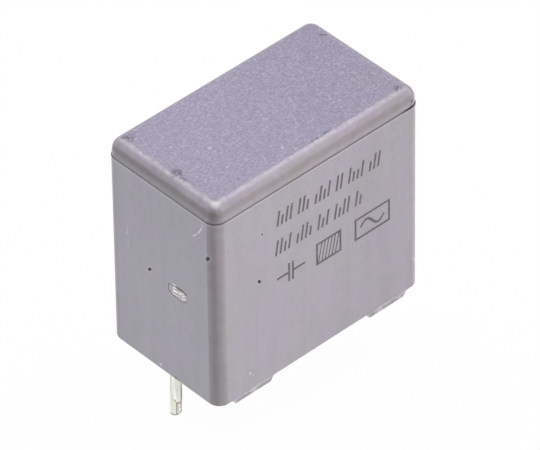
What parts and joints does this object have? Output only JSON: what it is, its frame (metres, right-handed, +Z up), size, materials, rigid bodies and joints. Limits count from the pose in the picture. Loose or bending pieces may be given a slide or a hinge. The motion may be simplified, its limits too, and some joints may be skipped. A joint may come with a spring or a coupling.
{
  "type": "box film capacitor",
  "caption": "Moulded box film capacitor with rounded edges, standoff feet, resin-filled underside, a flat wound element inside and straight wire leads for a circuit board.",
  "frame": {"origin": "midway between the two leads, on the seating plane under the four standoff feet", "axes": "+Z up, away from the board; +X along the row of leads, from the left lead to the right lead; +Y across the case"},
  "size_m": [0.0176, 0.01, 0.0205],
  "materials": {
    "case_plastic": "moulded, smooth sides and a fine grained top",
    "resin": "cast, glossy with a slightly hollow surface",
    "metallised_film": "wound film, silvery",
    "plain_film": "wound film, pale",
    "sprayed_metal": "sprayed metal, rough and grey",
    "tinned_wire": "tinned, drawn along its length"
  },
  "bodies": {
    "root": {"case": "case_plastic", "potting": "resin", "film_winding": "metallised_film", "outer_wrap": "plain_film", "end_spray_left": "sprayed_metal", "end_spray_right": "sprayed_metal", "lead_left": "tinned_wire", "lead_right": "tinned_wire"}
  },
  "joints": []
}
